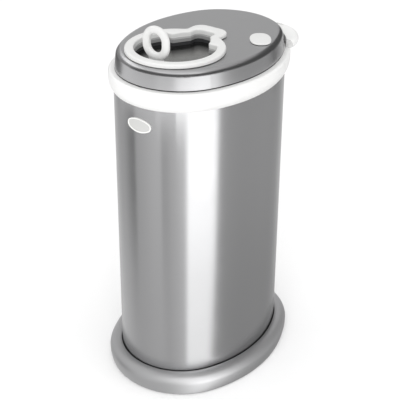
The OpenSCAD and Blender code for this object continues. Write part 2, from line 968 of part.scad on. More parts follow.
module door_handle() {
    color("white") difference() {
        union() {
            in_ring_plane() {
                ring_loop();
                translate([0, 0, -stem_t / 2]) linear_extrude(stem_t) stem_area();
            }
            block(-foot_half_x, foot_half_x, foot_y0, foot_y1, disc_top, disc_top + foot_t);
        }
        block(-reach, reach, -reach, reach, disc_top - 20, disc_top);
        at_handle_screws()
            rod([0, 0], screw_r, disc_top - 1, carrier_top - carrier_floor + handle_screw_l + 0.5);
    }
}

module handle_screws() {
    color("gray") at_handle_screws() screw_up([0, 0], carrier_top - carrier_floor, handle_screw_l);
}

module lock_button() {
    dome_r = 130;
    color("white") difference() {
        union() {
            intersection() {
                translate([lock_x, lock_y, button_z]) rotate([0, 0, lock_turn - 90])
                    linear_extrude(button_h) oval_area(button_half_len, button_half_wid, 0);
                translate([lock_x, lock_y, button_z + button_h - dome_r]) sphere(dome_r, $fn = 180);
            }
            rod([lock_x, lock_y], lock_post_r, bar_z + bar_t, button_z);
        }
        rod([lock_x, lock_y], screw_r, bar_z, plate_z);
    }
}

module lock_bolt() {
    color("lightgray") difference() {
        block(bar_in, bar_out, bar_front, bar_back, bar_z, bar_z + bar_t);
        rod([lock_x, lock_y], head_r + hole_gap, bar_z - 1, bar_z + head_h);
        rod([lock_x, lock_y], screw_r + hole_gap, bar_z, bar_z + bar_t + 1);
    }
}

module lock_screw() {
    color("gray") screw_up([lock_x, lock_y], bar_z + head_h, plate_z - bar_z - head_h - 1);
}

outer_shell();
base_skirt();
floor_pan();
rubber_feet();
base_screws();
rim_collar();
rim_liner();
rim_screws();
bag_ring();
bag_clips();
lid_gasket();
badge_plate();
badge_bezel();
badge_pins();
hinge_pin();
hinge_caps();
lid_cover();
lid_pan();
opening_frame();
opening_seal();
frame_screws();
door_seal();
door_rails();
rail_screws();
under_tray();
tray_screws();
hinge_bushes();
lock_detent();
door_disc();
door_carrier();
door_glides();
door_handle();
handle_screws();
lock_button();
lock_bolt();
lock_screw();
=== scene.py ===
import json
import math

import bpy
import numpy as np
from mathutils import Matrix


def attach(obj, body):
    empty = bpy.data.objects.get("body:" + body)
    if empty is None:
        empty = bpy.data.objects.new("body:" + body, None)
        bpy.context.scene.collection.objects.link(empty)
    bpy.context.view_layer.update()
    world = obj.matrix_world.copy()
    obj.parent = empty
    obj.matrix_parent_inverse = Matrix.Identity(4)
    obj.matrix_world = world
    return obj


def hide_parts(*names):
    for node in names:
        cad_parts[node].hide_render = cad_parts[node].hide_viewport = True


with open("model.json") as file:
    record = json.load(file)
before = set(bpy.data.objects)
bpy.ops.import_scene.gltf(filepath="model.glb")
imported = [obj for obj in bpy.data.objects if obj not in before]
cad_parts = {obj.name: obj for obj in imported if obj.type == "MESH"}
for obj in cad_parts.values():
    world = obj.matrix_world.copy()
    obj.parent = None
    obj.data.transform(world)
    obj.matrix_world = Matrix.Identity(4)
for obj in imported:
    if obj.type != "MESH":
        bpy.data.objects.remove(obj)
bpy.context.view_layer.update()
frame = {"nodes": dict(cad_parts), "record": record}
print("frame loaded:", len(frame["nodes"]), "pieces")

mm = 0.001  # the pieces are worked out in millimetres, and what ends in Turn is in degrees


# Materials

# a Mix node's colours go by number: two in, one out
colourA, colourB, mixedColour = 6, 7, 2


def linear(hexColour):
    # sRGB to linear: divided by 12.92 near black, and a 2.4 power above it
    srgb = [int(hexColour[i:i + 2], 16) / 255 for i in (0, 2, 4)]
    return tuple(c / 12.92 if c < 0.04045 else ((c + 0.055) / 1.055) ** 2.4 for c in srgb) + (1.0,)


def put(tree, kind, settings=None, links=None):
    # one shader node: settings are properties or socket values, links are sockets
    node = tree.nodes.new(kind)
    for key, value in (settings or {}).items():
        if isinstance(key, int) or key in node.inputs:
            node.inputs[key].default_value = value
        else:
            setattr(node, key, value)
    for key, socket in (links or {}).items():
        tree.links.new(socket, node.inputs[key])
    return node


def newMaterial(name):
    # a material with an empty node tree
    material = bpy.data.materials.new(name)
    material.use_nodes = True
    material.node_tree.nodes.clear()
    return material, material.node_tree


def finishMaterial(tree, settings, links):
    # the surface shader, joined to the output
    shader = put(tree, "ShaderNodeBsdfPrincipled", settings, links)
    put(tree, "ShaderNodeOutputMaterial", links={"Surface": shader.outputs["BSDF"]})


# the real hairlines are about 0.05 mm wide and are drawn ten times as coarse, so that they show
steelLook = dict(tones=("B7B7B8", "BFBFC0"), roughness=0.3, swing=0.05, cloud=60, anisotropy=0.0,
                 hairLength=60, hairWidth=0.5, hairShow=0.05, hairDepth=0.02, brushMap=False)


def brushedStainless(name, look):
    # stainless sheet, ground with a fine belt: long hairlines, each a little lighter than the next, and slow
    # clouds where the belt left it duller. They run front to back, or along the piece's own brush map
    material, tree = newMaterial(name)
    across, along = 1 / (look["hairWidth"] * mm), 1 / (look["hairLength"] * mm)
    if look["brushMap"]:
        place = put(tree, "ShaderNodeUVMap", {"uv_map": "brush"}).outputs["UV"]
        scale = (across, along, 1)
    else:
        place = put(tree, "ShaderNodeTexCoord").outputs["Object"]
        scale = (across, along, across)
    stretch = put(tree, "ShaderNodeMapping", {"Scale": scale}, {"Vector": place})
    hairs = put(tree, "ShaderNodeTexNoise", {"Scale": 1.0, "Detail": 3.0}, {"Vector": stretch.outputs[0]})
    clouds = put(tree, "ShaderNodeTexNoise", {"Scale": 1 / (look["cloud"] * mm), "Detail": 2.0},
                 {"Vector": place})
    dark, pale = (linear(tone) for tone in look["tones"])
    tone = put(tree, "ShaderNodeMix", {"data_type": "RGBA", colourA: dark, colourB: pale},
               {"Factor": hairs.outputs["Fac"]})
    dull = put(tree, "ShaderNodeMapRange",
               {"To Min": look["roughness"] - look["swing"], "To Max": look["roughness"] + look["swing"]},
               {"Value": clouds.outputs["Fac"]})
    bump = put(tree, "ShaderNodeBump", {"Strength": look["hairShow"], "Distance": look["hairDepth"] * mm},
               {"Height": hairs.outputs["Fac"]})
    if "hem" in look:
        # below the height given as hem, the lid's lowest edge is painted dark: a painted shadow of the gap
        # between the lid and the collar
        spot = put(tree, "ShaderNodeTexCoord").outputs["Object"]
        axes = put(tree, "ShaderNodeSeparateXYZ", links={0: spot})
        above = put(tree, "ShaderNodeMapRange",
                    {"From Min": look["hem"] * mm, "From Max": (look["hem"] + look["hemSoft"]) * mm},
                    {"Value": axes.outputs["Z"]})
        tone = put(tree, "ShaderNodeMix", {"data_type": "RGBA", colourA: linear(look["hemTone"])},
                   {"Factor": above.outputs["Result"], colourB: tone.outputs[mixedColour]})
    links = {"Base Color": tone.outputs[mixedColour], "Roughness": dull.outputs["Result"],
             "Normal": bump.outputs["Normal"]}
    if look["brushMap"]:
        tangent = put(tree, "ShaderNodeTangent", {"direction_type": "UV_MAP", "uv_map": "brush"})
        links["Tangent"] = tangent.outputs[0]
    finishMaterial(tree, {"Metallic": 1.0, "Anisotropic": look["anisotropy"]}, links)
    return material


# the real spark texture is about 0.1 mm and is drawn several times as coarse, so that it shows
plasticLook = dict(tones=("EAEAE9", "EFEFEE"), roughness=0.32, smoother=0.04, duller=0.06, ior=1.53,
                   grain=0.7, grainShow=0.05, grainDepth=0.03, swell=45)


def mouldedPlastic(name, look):
    # injection moulding: the tool's fine spark texture, and slow swells where the plastic shrank
    material, tree = newMaterial(name)
    place = put(tree, "ShaderNodeTexCoord").outputs["Object"]
    grain = put(tree, "ShaderNodeTexNoise", {"Scale": 1 / (look["grain"] * mm), "Detail": 2.0},
                {"Vector": place})
    swell = put(tree, "ShaderNodeTexNoise", {"Scale": 1 / (look["swell"] * mm), "Detail": 1.0},
                {"Vector": place})
    dark, pale = (linear(tone) for tone in look["tones"])
    tone = put(tree, "ShaderNodeMix", {"data_type": "RGBA", colourA: dark, colourB: pale},
               {"Factor": swell.outputs["Fac"]})
    dull = put(tree, "ShaderNodeMapRange",
               {"To Min": look["roughness"] - look["smoother"], "To Max": look["roughness"] + look["duller"]},
               {"Value": grain.outputs["Fac"]})
    bump = put(tree, "ShaderNodeBump", {"Strength": look["grainShow"], "Distance": look["grainDepth"] * mm},
               {"Height": grain.outputs["Fac"]})
    if "armTone" in look:
        # behind this line across the piece lie the hinge arms, which are paler
        axes = put(tree, "ShaderNodeSeparateXYZ", links={0: place})
        behind = put(tree, "ShaderNodeMapRange",
                     {"From Min": look["armLine"] * mm, "From Max": (look["armLine"] + look["armSoft"]) * mm},
                     {"Value": axes.outputs["Y"]})
        tone = put(tree, "ShaderNodeMix", {"data_type": "RGBA", colourB: linear(look["armTone"])},
                   {"Factor": behind.outputs["Result"], colourA: tone.outputs[mixedColour]})
    finishMaterial(tree, {"IOR": look["ior"]},
                   {"Base Color": tone.outputs[mixedColour], "Roughness": dull.outputs["Result"],
                    "Normal": bump.outputs["Normal"]})
    return material


# what each steel has of its own, under its slot or under a shade's name
steels = {
    # ground sheet rolled to an oval: upright streaks, as hairlines spread each light across themselves
    "body_steel": ("brushed stainless body", dict(brushMap=True, anisotropy=0.85, roughness=0.2)),
    # pressed from ground sheet: an even soft shine, with a painted shadow line along its lowest edge where it
    # meets the collar
    "lid_steel": ("satin stainless lid", dict(hem=536.3, hemSoft=0.4, hemTone="3A3A3B")),
    # a polished disc, clearer than the lid; its colour is painted darker than the lid's steel, as painted
    # shade down in the mouth
    "door_steel": ("satin stainless door", dict(tones=("949492", "9E9E9C"), roughness=0.22)),
    # rolled strip: darker grey with short marks
    "spring_steel": ("spring steel", dict(tones=("8E8E90", "9A9A9C"), hairLength=8)),
    # plated in a barrel: warm, mottled grey
    "fasteners": ("zinc plated screws", dict(tones=("A2A29E", "B6B6B0"), hairLength=2)),
    # spun and ground: paler and duller, so that it takes one soft patch of light
    "footSteel": ("satin stainless foot", dict(tones=("C2C2C3", "C9C9CA"), roughness=0.43)),
}

polypropylene = dict(roughness=0.5, grain=0.6, grainShow=0.12, ior=1.49)
softRubber = dict(roughness=0.6, grain=0.5, grainShow=0.15, ior=1.5)

# the same for what is moulded
plastics = {
    # smooth tool: a clean white with a soft sheen
    "white_plastic": ("white ABS", dict()),
    # textured tool: milky and dull
    "inner_plastic": ("white polypropylene", dict(polypropylene, tones=("E2E2E0", "EAEAE8"))),
    # waxy and a little cream, as acetal is
    "slide_plastic": ("waxy acetal", dict(tones=("DCDAD2", "E6E4DC"), roughness=0.4, grain=0.8,
                                          grainShow=0.06, ior=1.48)),
    # coloured through: near black and matt
    "dark_plastic": ("dark polypropylene", dict(polypropylene, tones=("2C2C2E", "363638"), roughness=0.55,
                                                grain=0.5, grainShow=0.2)),
    # soft and dusty grey
    "seal_rubber": ("dark thermoplastic rubber", dict(softRubber, tones=("38383A", "444446"))),
    # pressed and cured: black and dull
    "rubber": ("black rubber", dict(tones=("161616", "202020"), roughness=0.7, grain=0.4, grainShow=0.3,
                                    ior=1.52)),
    # finely textured tool: half dull; its white is painted greyer than the collar's, as painted shade
    "satinShadedWhite": ("satin white ABS", dict(tones=("DCDCDB", "E1E1E0"), roughness=0.38)),
    # polished tool: glossy, and its white is painted the brightest of the whites, as painted light
    "collarLitWhite": ("bright white ABS", dict(tones=("EDEDEC", "F1F1F0"))),
    # nearly white and glossy: the rim's white is a painted highlight, standing in for the shine of its metal
    "rimPaintedHighlight": ("bright rim with painted highlight", dict(tones=("F2F2F0", "F6F6F4"), roughness=0.25,
                                                grainShow=0.03)),
    # coarsely textured tool: a silky grey
    "silkGrey": ("silk grey ABS", dict(tones=("C6C6C4", "CECECC"), roughness=0.45, grain=0.9,
                                       grainShow=0.2)),
    # the pan is grey, and turns paler behind a line across it, where its hinge arms lie
    "panGrey": ("grey polypropylene pan", dict(polypropylene, tones=("8E8E8E", "989898"), armTone="F0F0EF",
                                               armLine=135.0, armSoft=1.0)),
    # soft and pale grey
    "paleSeal": ("pale thermoplastic rubber", dict(softRubber, tones=("B4B4B4", "BEBEBE"))),
}

# nodes that wear a shade of their own within their slot
ownShade = {
    "base_skirt": "footSteel",
    "opening_frame": "satinShadedWhite",
    "door_handle": "satinShadedWhite",
    "lock_button": "satinShadedWhite",
    "rim_collar": "collarLitWhite",
    "badge_bezel": "rimPaintedHighlight",
    "badge_plate": "silkGrey",
    "lid_pan": "panGrey",
    "opening_seal": "paleSeal",
}

finishes = {key: brushedStainless(name, dict(steelLook, **own)) for key, (name, own) in steels.items()}
finishes |= {key: mouldedPlastic(name, dict(plasticLook, **own)) for key, (name, own) in plastics.items()}
slotOf = {part["node"]: part["material_slot"] for part in frame["record"]["subparts"]}
finishOf = {node: finishes[ownShade.get(node, slot)] for node, slot in slotOf.items()}
for node, piece in frame["nodes"].items():
    piece.data.materials.clear()
    piece.data.materials.append(finishOf[node])
print("materials made:", len(finishes))


# Surfaces

def gridFaces(rows, columns, closeRows, closeColumns):
    # quads between the neighbours of a rows by columns grid, wrapping where it is closed
    r = np.arange(rows if closeRows else rows - 1)[:, None]
    c = np.arange(columns if closeColumns else columns - 1)[None, :]
    nextR, nextC = (r + 1) % rows, (c + 1) % columns
    corners = [r * columns + c, nextR * columns + c, nextR * columns + nextC, r * columns + nextC]
    return np.stack(corners, axis=-1).reshape(-1, 4).tolist()


def flipped(faces):
    # the same faces, seen from their other side
    return [face[::-1] for face in faces]


def makePiece(name, points, faces, body, node, sharp=35, brush=None):
    # a mesh from millimetre points, smooth but for edges sharper than the angle given
    mesh = bpy.data.meshes.new(name)
    mesh.from_pydata((points.reshape(-1, 3) * mm).tolist(), [], faces)
    mesh.validate()
    if brush is not None:
        layer = mesh.uv_layers.new(name="brush")
        corners = np.zeros(len(mesh.loops), dtype=np.int32)
        mesh.loops.foreach_get("vertex_index", corners)
        layer.data.foreach_set("uv", (brush.reshape(-1, 2)[corners] * mm).astype(np.float32).ravel())
    mesh.shade_smooth()
    mesh.set_sharp_from_angle(angle=math.radians(sharp))
    piece = bpy.data.objects.new(name, mesh)
    bpy.context.scene.collection.objects.link(piece)
    piece.data.materials.append(finishOf[node])
    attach(piece, body)
    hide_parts(node)
    return piece


# the body's oval, seen from above
bodyOval = dict(halfLength=154.4, halfWidth=116.0)


def ovalArcs(oval):
    # the oval's four arcs have their centres 4 bows out along it and 7.5 bows out across it. From one centre
    # to the next is then 8.5 bows, which is what their radii differ by, so the arcs run into each other
    bow = (oval["halfLength"] - oval["halfWidth"]) / 3
    endC, endR, sideC = 4 * bow, oval["halfWidth"] - bow, 7.5 * bow
    return endC, endR, sideC, oval["halfWidth"] + sideC


def ovalRun(oval, grow, steps):
    # walked once round at an even pace: a point is its arc's centre plus (radius + grow) times the outward
    # normal, and the side arcs reach the slope of 8 to 15 on both sides of their middle
    endC, endR, sideC, sideR = ovalArcs(oval)
    lean = math.atan2(8, 15)
    centres = np.array([(-sideC, 0), (0, endC), (sideC, 0), (0, -endC)])
    radii = np.array([sideR, endR, sideR, endR])
    starts = np.array([-lean, lean, math.pi - lean, math.pi + lean])
    spans = np.array([2 * lean, math.pi - 2 * lean, 2 * lean, math.pi - 2 * lean])
    ends = np.concatenate([[0], np.cumsum(radii * spans)])
    walk = np.arange(steps) * ends[-1] / steps
    arc = np.clip(np.searchsorted(ends, walk, side="right") - 1, 0, 3)
    angle = starts[arc] + (walk - ends[arc]) / radii[arc]
    normal = np.stack([np.cos(angle), np.sin(angle)], axis=-1)
    return centres[arc] + (radii[arc] + grow)[:, None] * normal, normal, walk


def arcRun(centre, radius, fromAngle, toAngle, steps):
    # points on a circle between two angles in degrees: centre plus radius times (cosine, sine)
    a = np.radians(np.linspace(fromAngle, toAngle, steps))
    return np.stack([centre[0] + radius * np.cos(a), centre[1] + radius * np.sin(a)], axis=-1)


def roundCorner(before, corner, after, radius, steps=6):
    # the arc that touches both edges of a corner: its centre lies on the line that halves the angle, the
    # radius over the half angle's sine away
    before, corner, after = (np.array(p, float) for p in (before, corner, after))
    u, v = before - corner, after - corner
    u, v = u / np.linalg.norm(u), v / np.linalg.norm(v)
    half = math.acos(np.clip(u @ v, -1, 1)) / 2
    middle = (u + v) / np.linalg.norm(u + v)
    centre = corner + middle * radius / math.sin(half)
    start = corner + u * radius / math.tan(half) - centre
    end = corner + v * radius / math.tan(half) - centre
    turn = math.atan2(start[0] * end[1] - start[1] * end[0], start @ end)
    a = np.linspace(0, turn, steps)
    return centre + np.stack([np.cos(a) * start[0] - np.sin(a) * start[1],
                              np.sin(a) * start[0] + np.cos(a) * start[1]], axis=-1)


def roundedOutline(corners):
    # a closed outline from (x, y, radius) corners
    runs = []
    for i, (x, y, radius) in enumerate(corners):
        before, after = corners[i - 1], corners[(i + 1) % len(corners)]
        runs.append(roundCorner(before[:2], (x, y), after[:2], radius))
    return np.concatenate(runs)


def carryRound(section, steps=320, oval=bodyOval):
    # the section carried once round the oval: its first number is the distance outwards, its second the
    # height. The brush map takes the way along the section and the way round, in millimetres
    on, normal, walk = ovalRun(oval, 0, steps)
    flat = on[:, None, :] + normal[:, None, :] * section[None, :, :1]
    points = np.concatenate([flat, np.broadcast_to(section[None, :, 1:], flat.shape[:2] + (1,))], axis=-1)
    run = np.concatenate([[0], np.cumsum(np.linalg.norm(np.diff(section, axis=0), axis=1))])
    brush = np.stack(np.broadcast_arrays(run[None, :], walk[:, None]), axis=-1)
    return points, gridFaces(steps, len(section), True, True), brush


def stacked(rings, heights):
    # flat rings, each lifted to its own height
    return np.stack([np.concatenate([ring, np.full((len(ring), 1), z)], axis=1)
                     for ring, z in zip(rings, heights)])


def squared(share, power):
    # the sign of the share times its size to a power: below one it squares a circle off
    return np.sign(share) * np.abs(share) ** power


def loft(sections):
    # closed sections joined in order, with each end closed to its middle
    count = sections.shape[1]
    low, high = sections[0].mean(axis=0), sections[-1].mean(axis=0)
    points = np.concatenate([sections.reshape(-1, 3), [low, high]])
    last = len(points) - 2
    k = np.arange(count)
    faces = flipped(gridFaces(len(sections), count, False, True))
    faces += np.stack([(k + 1) % count, k, np.full(count, last)], axis=-1).tolist()
    top = (len(sections) - 1) * count
    faces += np.stack([top + k, top + (k + 1) % count, np.full(count, last + 1)], axis=-1).tolist()
    return points, faces


# Body

shell = dict(low=12.0, high=528.5, thickness=0.8, edge=0.2)


def makeBody():
    # a thin upright strip with softened edges, carried round the oval
    outer, inner = 0, -shell["thickness"]
    corners = [(outer, shell["low"]), (outer, shell["high"]), (inner, shell["high"]), (inner, shell["low"])]
    section = roundedOutline([(out, z, shell["edge"]) for out, z in corners])
    points, faces, brush = carryRound(section)
    makePiece("bodyShell", points, faces, "bin", "outer_shell", brush=brush)


# Foot: a rounded top, a side that leans in to the floor, and a lip turned in under it

foot = dict(reach=21.5, wideZ=22.5, topRadius=15.0, sideRadius=60.0, gap=1.5, thickness=1.2, lowZ=1.5,
            lipIn=3.4, hem=1.6, hemClear=0.1, insideTurn=1.6, sideSteps=24, topSteps=40, insideTopSteps=30,
            insideSideSteps=12)


def makeFoot():
    # the top is an arc from the widest height over to the body, the side a wide arc down from there. Both
    # have their centres level with the widest point. The inside is the same arcs, the sheet's thickness
    # smaller, and ends a small turn above the lip
    f = foot
    t = f["thickness"]
    top = (f["reach"] - f["topRadius"], f["wideZ"])
    side = (f["reach"] - f["sideRadius"], f["wideZ"])
    over = math.degrees(math.acos((f["gap"] - top[0]) / f["topRadius"]))
    overIn = math.degrees(math.acos((f["gap"] - top[0]) / (f["topRadius"] - t)))
    down = math.degrees(math.asin((f["wideZ"] - f["lowZ"]) / f["sideRadius"]))
    outer = arcRun(side, f["sideRadius"], -down, 0, f["sideSteps"])
    hem = roundCorner((f["lipIn"], f["lowZ"]), outer[0], outer[f["sideSteps"] // 3], f["hem"])
    section = np.concatenate([
        [(f["lipIn"], f["lowZ"])],
        hem,
        outer[outer[:, 1] > hem[-1, 1] + f["hemClear"]],
        arcRun(top, f["topRadius"], 0, over, f["topSteps"])[1:],
        arcRun(top, f["topRadius"] - t, overIn, 0, f["insideTopSteps"]),
        arcRun(side, f["sideRadius"] - t, 0, -down + f["insideTurn"], f["insideSideSteps"])[1:],
        [(f["lipIn"], f["lowZ"] + t)]])
    points, faces, brush = carryRound(section)
    makePiece("footFlange", points, faces, "bin", "base_skirt", brush=brush)


# Opening frame: a round mouth with a narrower bay behind it, all edges rounded

mouth = dict(centreY=-66.0, radius=62.0, rim=14.0, shoulderY=-28.0, neckHalf=34.0, neckY=-2.0,
             bayHalf=18.0, bayBack=15.0, bayRounds=(5, 6, 9), outerHalf=31.0, outerBack=36.0,
             hollow=8, hollowTurn=6, backRound=18, lowZ=564.5, skirtZ=563.7, skirtWide=2.6, topZ=571.5,
             innerRound=2.4, outerRound=3.2, underHigh=1.1, underDeep=2.2,
             arcSteps=120, backSteps=12, roundSteps=7, steps=720)


def bothSides(right):
    # the right half from front to back, then its mirror image back to the front
    return np.concatenate([right, right[-2:0:-1] * (-1, 1)])


def holeOutline():
    # the circle up to the shoulder, in to the neck, slanting to the bay, back along it and to the middle
    m = mouth
    half = math.degrees(math.acos((m["shoulderY"] - m["centreY"]) / m["radius"]))
    shoulder = m["radius"] * math.sin(math.radians(half))
    way = [(shoulder, m["shoulderY"]), (m["neckHalf"], m["shoulderY"]), (m["bayHalf"], m["neckY"]),
           (m["bayHalf"], m["bayBack"]), (0, m["bayBack"])]
    rounds = [roundCorner(*way[i:i + 3], radius) for i, radius in enumerate(m["bayRounds"])]
    circle = arcRun((0, m["centreY"]), m["radius"], -90, 90 - half, m["arcSteps"])
    return bothSides(np.concatenate([circle] + rounds + [way[-1:]]))


def rimOutline():
    # a circle wider by the rim, a small hollow where it meets the bay's outer wall, and the rounded back
    m = mouth
    radius = m["radius"] + m["rim"]
    meetY = m["centreY"] + math.sqrt(radius ** 2 - m["outerHalf"] ** 2)
    slope = math.degrees(math.asin((meetY - m["centreY"]) / radius))
    circle = arcRun((0, m["centreY"]), radius, -90, slope - m["hollowTurn"], m["arcSteps"])
    meet, corner, middle = (m["outerHalf"], meetY), (m["outerHalf"], m["outerBack"]), (0, m["outerBack"])
    hollow = roundCorner(circle[-1], meet, corner, m["hollow"])
    back = roundCorner(meet, corner, middle, m["backRound"], m["backSteps"])
    return bothSides(np.concatenate([circle, hollow, back, [middle]]))


def grown(outline, grow):
    # each point moved outwards along the outline's own normal
    ahead, behind = np.roll(outline, -1, axis=0), np.roll(outline, 1, axis=0)
    along = ahead - behind
    along = along / np.linalg.norm(along, axis=1)[:, None]
    return outline + np.stack([along[:, 1], -along[:, 0]], axis=-1) * grow


def atAngles(outline, angles):
    # the outline's distance from the mouth's centre, read off at even angles
    rel = outline - (0, mouth["centreY"])
    own = np.unwrap(np.arctan2(rel[:, 1], rel[:, 0]))
    far = np.linalg.norm(rel, axis=1)
    order = np.argsort(own)
    r = np.interp(angles, own[order], far[order], period=2 * math.pi)
    return np.stack([r * np.cos(angles), mouth["centreY"] + r * np.sin(angles)], axis=-1)


def makeOpeningFrame():
    # each row is an outline, how far it is grown, and its height: from a short skirt up the hole's wall, over
    # a quarter round, across the flat top, over the outer quarter round and down
    m = mouth
    hole, rim = holeOutline(), rimOutline()
    turns = [math.radians(a) for a in np.linspace(0, 90, m["roundSteps"])]
    rows = [(hole, m["skirtWide"], m["skirtZ"]), (hole, 0, m["skirtZ"])]
    rows += [(hole, m["innerRound"] * (1 - math.cos(a)), m["topZ"] - m["innerRound"] * (1 - math.sin(a)))
             for a in turns]
    rows += [(rim, -m["outerRound"] * (1 - math.sin(a)), m["topZ"] - m["outerRound"] * (1 - math.cos(a)))
             for a in turns]
    # the outer wall stops short of the lid, over a narrower foot, so a thin dark line runs round it
    under = m["lowZ"] + m["underHigh"]
    rows += [(rim, 0, under), (rim, -m["underDeep"], under), (rim, -m["underDeep"], m["lowZ"]),
             (hole, m["skirtWide"], m["lowZ"])]
    angles = np.linspace(-math.pi, math.pi, m["steps"], endpoint=False)
    points = stacked([atAngles(grown(outline, grow), angles) for outline, grow, _ in rows],
                     [z for _, _, z in rows])
    makePiece("openingRim", points, gridFaces(len(rows), len(angles), True, True), "lid", "opening_frame",
              sharp=40)


# Ring handle: a squared bar bent into a long ring, broader at its sides, on a flat stem with a foot

handle = dict(radius=17.7, straight=5.2, sideHalf=6.4, topHalf=5.7, deep=4.8, barPower=0.85,
              forward=111.0, height=589.3, bendSteps=40, barTurn=12,
              stemHalf=13.0, stemThick=3.9, stemPower=0.6, stemFlare=0.2, stemLow=1, stemIn=5,
              stemSteps=24, stemTurn=9,
              floorZ=549.5, footHalf=(15.0, 7.5), footMiddle=-112.0, footPower=0.4, footTurn=10,
              footHeights=(0, 0.8, 3.2, 4.0), footSizes=(1, 1, 0.99, 0.9),
              voxel=0.8, softenTimes=5, softenShare=0.5)


def ringPlane(x, up, out):
    # a point of the ring's upright plane: across, up from the ring's middle, and forwards out of the plane
    return np.stack(np.broadcast_arrays(x, -handle["forward"] - out, handle["height"] + up), axis=-1)


def roundTurn(step):
    # angles once round, as one row
    return np.radians(np.arange(0, 360, step))[None, :]


def ringBar():
    # two half circles with straights between. The bar's section is a squared ellipse, whose half width goes
    # from the sides' to the top's with the square of how far the ring has turned upwards
    h = handle
    s = h["straight"] / 2
    line = np.concatenate([arcRun((0, s), h["radius"], 0, 180, h["bendSteps"]),
                           arcRun((0, -s), h["radius"], 180, 360, h["bendSteps"])])
    around = roundTurn(h["barTurn"])
    centre = np.where(line[:, 1:] > 0, s, -s) * (0, 1)
    away = (line - centre) / h["radius"]
    half = h["sideHalf"] + (h["topHalf"] - h["sideHalf"]) * np.clip(away[:, 1:], 0, 1) ** 2
    flat = line[:, None, :] + away[:, None, :] * (half * squared(np.cos(around), h["barPower"]))[..., None]
    ring = ringPlane(flat[..., 0], flat[..., 1], h["deep"] * squared(np.sin(around), h["barPower"]))
    return ring.reshape(-1, 3), gridFaces(len(line), around.shape[1], True, True)


def ringStem():
    # squared ellipses from the foot up into the ring, wider by a share that grows with the height's cube
    h = handle
    drop = h["height"] - h["floorZ"] - h["stemLow"]
    t = np.linspace(0, 1, h["stemSteps"])[:, None]
    a = roundTurn(h["stemTurn"])
    x = h["stemHalf"] * (1 + h["stemFlare"] * t ** 3) * squared(np.cos(a), h["stemPower"])
    up = -drop + t * (drop - h["straight"] / 2 - h["radius"] + h["stemIn"])
    return loft(ringPlane(x, up, h["stemThick"] * squared(np.sin(a), h["stemPower"])))


def ringFoot():
    # a flat block, squared ellipses that draw in a little at the top
    h = handle
    a = roundTurn(h["footTurn"])
    level, size = (np.array(h[key])[:, None] for key in ("footHeights", "footSizes"))
    x = h["footHalf"][0] * size * squared(np.cos(a), h["footPower"])
    y = h["footMiddle"] + h["footHalf"][1] * size * squared(np.sin(a), h["footPower"])
    return loft(np.stack(np.broadcast_arrays(x, y, h["floorZ"] + level), axis=-1))


def makeHandle():
    # the three closed shells overlap, so one skin of small cubes is drawn over them and smoothed
    parts, faces, count = [], [], 0
    for points, own in (ringBar(), ringStem(), ringFoot()):
        faces += [[i + count for i in face] for face in own]
        parts.append(points)
        count += len(points)
    piece = makePiece("ringHandle", np.concatenate(parts), faces, "door", "door_handle", sharp=80)
    skin = piece.modifiers.new("skin", "REMESH")
    skin.mode = "VOXEL"
    skin.voxel_size = handle["voxel"] * mm
    skin.use_smooth_shade = True
    soften = piece.modifiers.new("soften", "SMOOTH")
    soften.iterations = handle["softenTimes"]
    soften.factor = handle["softenShare"]
    bakeModifiers(piece)
    keepAbove(piece, handle["floorZ"])


def bakeModifiers(piece):
    # the mesh that the modifiers give takes the place of the piece's own
    shaped = bpy.data.meshes.new_from_object(piece.evaluated_get(bpy.context.evaluated_depsgraph_get()))
    piece.modifiers.clear()
    piece.data = shaped
    shaped.shade_smooth()


def keepAbove(piece, height):
    # nothing reaches below the face that the piece stands on
    places = np.zeros(len(piece.data.vertices) * 3, np.float32)
    piece.data.vertices.foreach_get("co", places)
    places[2::3] = np.maximum(places[2::3], height * mm)
    piece.data.vertices.foreach_set("co", places)
    piece.data.update()


# Lock button: a low domed oval pad

button = dict(x=78.0, y=46.0, turn=128.0, halfLength=24.6, halfWidth=16.5, power=0.84, lowZ=565.2, high=2.8,
              edge=1.6, edgeTurn=80, edgeSteps=7, dome=0.9, domeShares=(0.9, 0.75, 0.55, 0.3), steps=96)


def padRings():
    # rings of a squared oval: the wall's foot, the rounded edge, then a dome that is lower by the square of
    # the way out from the middle
    b = button
    a = np.arange(b["steps"]) * 2 * math.pi / b["steps"]
    full = np.stack([squared(np.cos(a), b["power"]), squared(np.sin(a), b["power"])], axis=-1)
    wallTop = b["lowZ"] + b["high"] - b["dome"]
    wall = [(0.0, b["lowZ"])]
    wall += [(-b["edge"] * (1 - math.cos(e)), wallTop - b["edge"] + b["edge"] * math.sin(e))
             for e in np.radians(np.linspace(0, b["edgeTurn"], b["edgeSteps"]))]
    rings = [full * (b["halfWidth"] + grow, b["halfLength"] + grow) for grow, _ in wall]
    heights = [z for _, z in wall]
    last = rings[-1]
    rings += [last * share for share in b["domeShares"]]
    heights += [wallTop + b["dome"] * (1 - share ** 2) for share in b["domeShares"]]
    return stacked(rings, heights)


def turned(points, angle, x, y):
    # turned by degrees about the upright axis, then moved
    a = math.radians(angle)
    flat = points[:, :2] @ np.array([[math.cos(a), math.sin(a)], [-math.sin(a), math.cos(a)]])
    return np.concatenate([flat + (x, y), points[:, 2:]], axis=1)


def makeButton():
    # the rings lofted, turned to lie along the lid's edge, and moved to their place
    points, faces = loft(padRings())
    placed = turned(points, button["turn"] - 90, button["x"], button["y"])
    makePiece("lockPad", placed, faces, "lock", "lock_button", sharp=60)


# Badge: a blank oval plate in a raised rim, bent round the front

badge = dict(halfLength=21.4, halfWidth=11.3, z=474.7, plateOut=1.5, plateEdge=0.4, plateEdgeOut=0.1,
             plateShares=(0.8, 0.5, 0.25), plateSteps=96, rim=2.0, rimOut=2.4, rimTopRound=0.9,
             rimFootRound=0.1, rimSteps=120)


